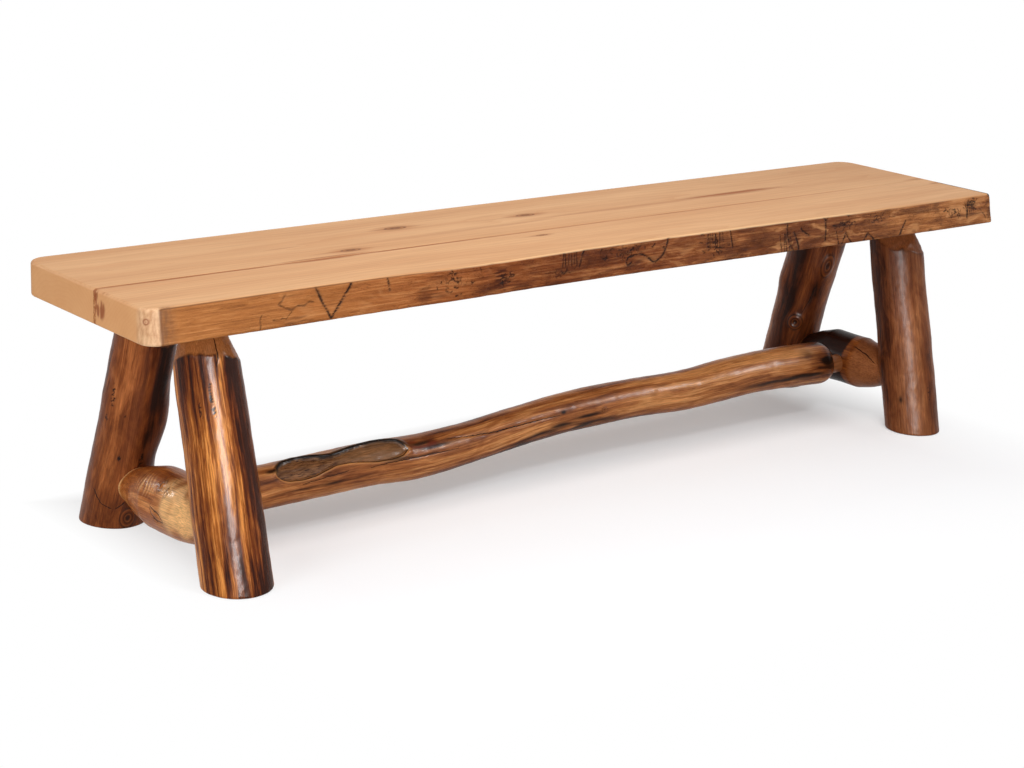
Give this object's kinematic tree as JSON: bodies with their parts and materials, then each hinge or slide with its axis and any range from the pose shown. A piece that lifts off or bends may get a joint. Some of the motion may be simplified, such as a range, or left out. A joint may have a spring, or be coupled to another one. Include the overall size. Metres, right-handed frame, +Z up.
{
  "type": "rustic log bench",
  "caption": "Backless rustic bench with a live-edge plank seat on splayed peeled-log legs, braced by tenoned log stretchers with hewn shoulders.",
  "frame": {"origin": "on the floor, midway between the ends and midway between the front and back feet", "axes": "+X along the seat to its right end as seen from the front, +Y from the live front edge to the back, +Z up"},
  "size_m": [1.829, 0.4738, 0.446],
  "materials": {
    "seat_wood": "satin clear lacquer on pale planed softwood or aspen",
    "log_wood": "glossy clear lacquer on peeled logs with brown under-bark streaks",
    "dowel_wood": "plain turned hardwood",
    "pin_steel": "bright steel"
  },
  "bodies": {
    "root": {"seat_plank_front": "seat_wood", "seat_plank_back": "seat_wood", "seat_dowels": "dowel_wood", "leg_front_left": "log_wood", "leg_back_left": "log_wood", "leg_front_right": "log_wood", "leg_back_right": "log_wood", "side_stretcher_left": "log_wood", "side_stretcher_right": "log_wood", "centre_stretcher": "log_wood", "leg_pins": "pin_steel", "stretcher_pins": "pin_steel"}
  },
  "joints": []
}
